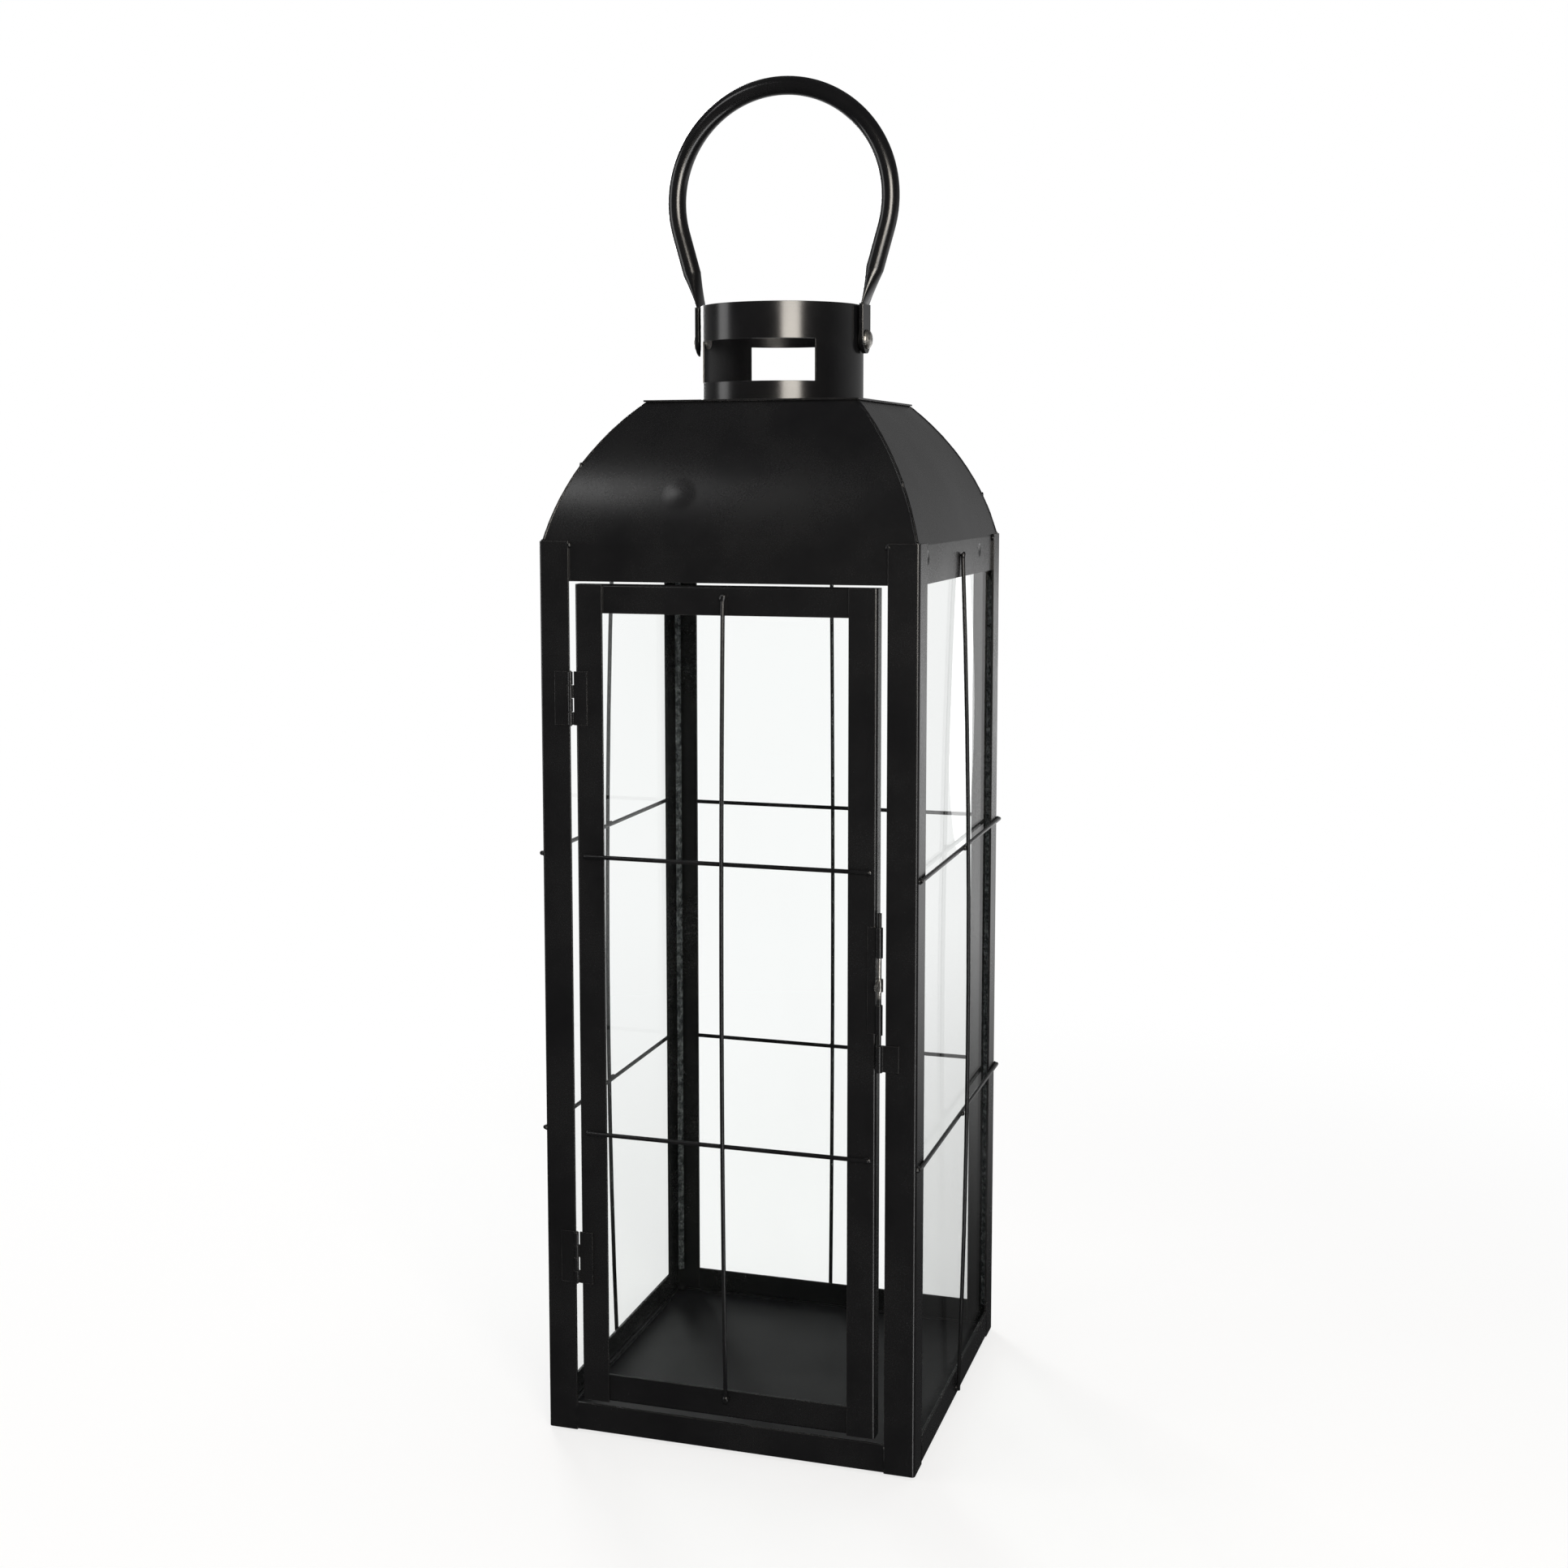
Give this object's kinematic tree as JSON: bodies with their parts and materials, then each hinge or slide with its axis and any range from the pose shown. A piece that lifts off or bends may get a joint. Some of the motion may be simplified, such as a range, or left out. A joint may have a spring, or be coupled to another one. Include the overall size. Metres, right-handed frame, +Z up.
{
  "type": "candle lantern",
  "caption": "Tall square black metal candle lantern with glass panes, a hinged door with a slide bolt, wire grids, a domed roof, a vent collar and a swinging loop handle.",
  "frame": {"origin": "centre of the square that the four feet stand on", "axes": "+Z up, -Y out through the door, +X to the right seen from the door's side"},
  "size_m": [0.1906, 0.1934, 0.6456],
  "materials": {
    "black_metal": "satin black powder coat",
    "glass": "clear",
    "bare_steel": "bright",
    "foot_rubber": "matte",
    "sealant": "translucent silicone"
  },
  "bodies": {
    "lantern": {"base_rail_back": "black_metal", "base_rail_front": "black_metal", "base_rail_left": "black_metal", "base_rail_right": "black_metal", "collar": "black_metal", "corner_post_back_left": "black_metal", "corner_post_back_right": "black_metal", "corner_post_front_left": "black_metal", "corner_post_front_right": "black_metal", "feet": "foot_rubber", "floor_plate": "black_metal", "glass_back": "glass", "glass_left": "glass", "glass_right": "glass", "glass_sealant": "sealant", "handle_rivet_left": "bare_steel", "handle_rivet_right": "bare_steel", "handle_spacer_left": "black_metal", "handle_spacer_right": "black_metal", "hinge_lower_pin": "black_metal", "hinge_lower_post_leaf": "black_metal", "hinge_upper_pin": "black_metal", "hinge_upper_post_leaf": "black_metal", "latch_keeper": "black_metal", "roof_panel_back": "black_metal", "roof_panel_front": "black_metal", "roof_panel_left": "black_metal", "roof_panel_right": "black_metal", "roof_top_plate": "black_metal", "wire_back_lower": "black_metal", "wire_back_upper": "black_metal", "wire_back_upright": "black_metal", "wire_left_lower": "black_metal", "wire_left_upper": "black_metal", "wire_left_upright": "black_metal", "wire_right_lower": "black_metal", "wire_right_upper": "black_metal", "wire_right_upright": "black_metal"},
    "door": {"door_glass": "glass", "door_glass_sealant": "sealant", "door_rail_bottom": "black_metal", "door_rail_top": "black_metal", "door_stile_left": "black_metal", "door_stile_right": "black_metal", "door_wire_lower": "black_metal", "door_wire_upper": "black_metal", "door_wire_upright": "black_metal", "hinge_lower_door_leaf": "black_metal", "hinge_upper_door_leaf": "black_metal", "latch_guide": "black_metal"},
    "bolt": {"latch_bolt": "bare_steel"},
    "handle": {"handle": "black_metal"}
  },
  "joints": [
    {"name": "door_hinge", "type": "hinge", "parent": "lantern", "child": "door", "pos_m": [-0.0745, -0.09115, 0.2205], "axis": [0, 0, -1], "range_deg": [0, 170]},
    {"name": "bolt_slide", "type": "slide", "parent": "door", "child": "bolt", "axis": [0, 0, 1], "range_m": [-0.006, 0.009]},
    {"name": "handle_pivot", "type": "hinge", "parent": "lantern", "child": "handle", "pos_m": [0, 0, 0.5206], "axis": [1, 0, 0], "range_deg": [-114, 114]}
  ]
}
